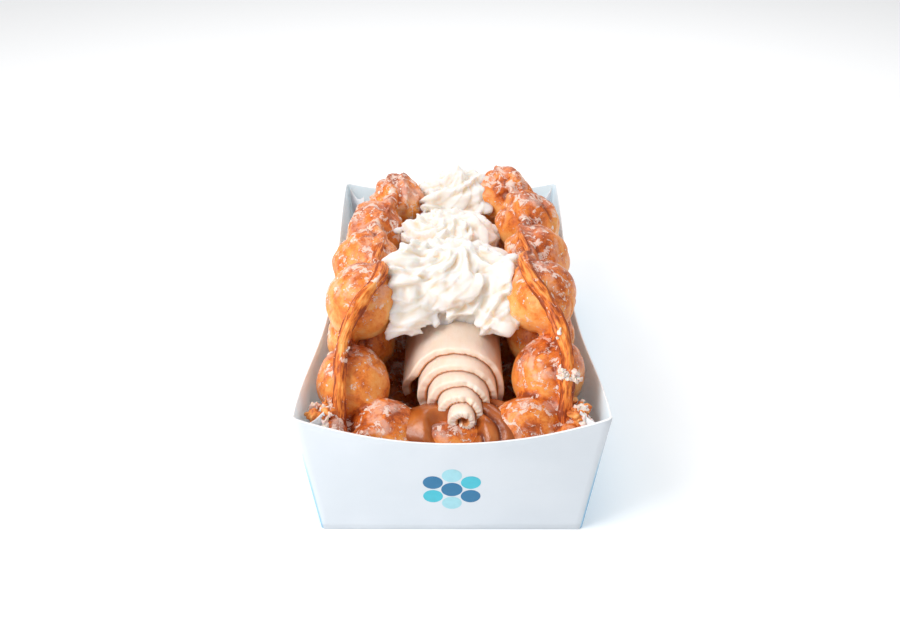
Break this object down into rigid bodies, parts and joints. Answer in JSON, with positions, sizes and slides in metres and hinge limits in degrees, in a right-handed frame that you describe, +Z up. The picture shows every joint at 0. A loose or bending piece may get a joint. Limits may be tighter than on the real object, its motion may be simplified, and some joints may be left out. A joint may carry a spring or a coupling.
{
  "type": "bubble waffle",
  "caption": "Bubble waffle folded into a trough round a roll of ice cream, topped with piped cream and caramel sauce, lying in an open paper tray.",
  "frame": {"origin": "centre of the tray's base, on the surface it stands on", "axes": "+Z up; +Y along the trough from the front, where the rolled ice cream ends, to the rear; +X to the right as seen from the front"},
  "size_m": [0.1316, 0.259, 0.1098],
  "materials": {
    "tray_paper": "matte",
    "waffle_crust": "satin",
    "ice_cream": "satin",
    "cream": "satin",
    "caramel": "gloss"
  },
  "bodies": {
    "root": {"paper_tray": "tray_paper", "waffle": "waffle_crust", "ice_cream_roll": "ice_cream", "whipped_cream": "cream", "caramel_sauce": "caramel"}
  },
  "joints": []
}
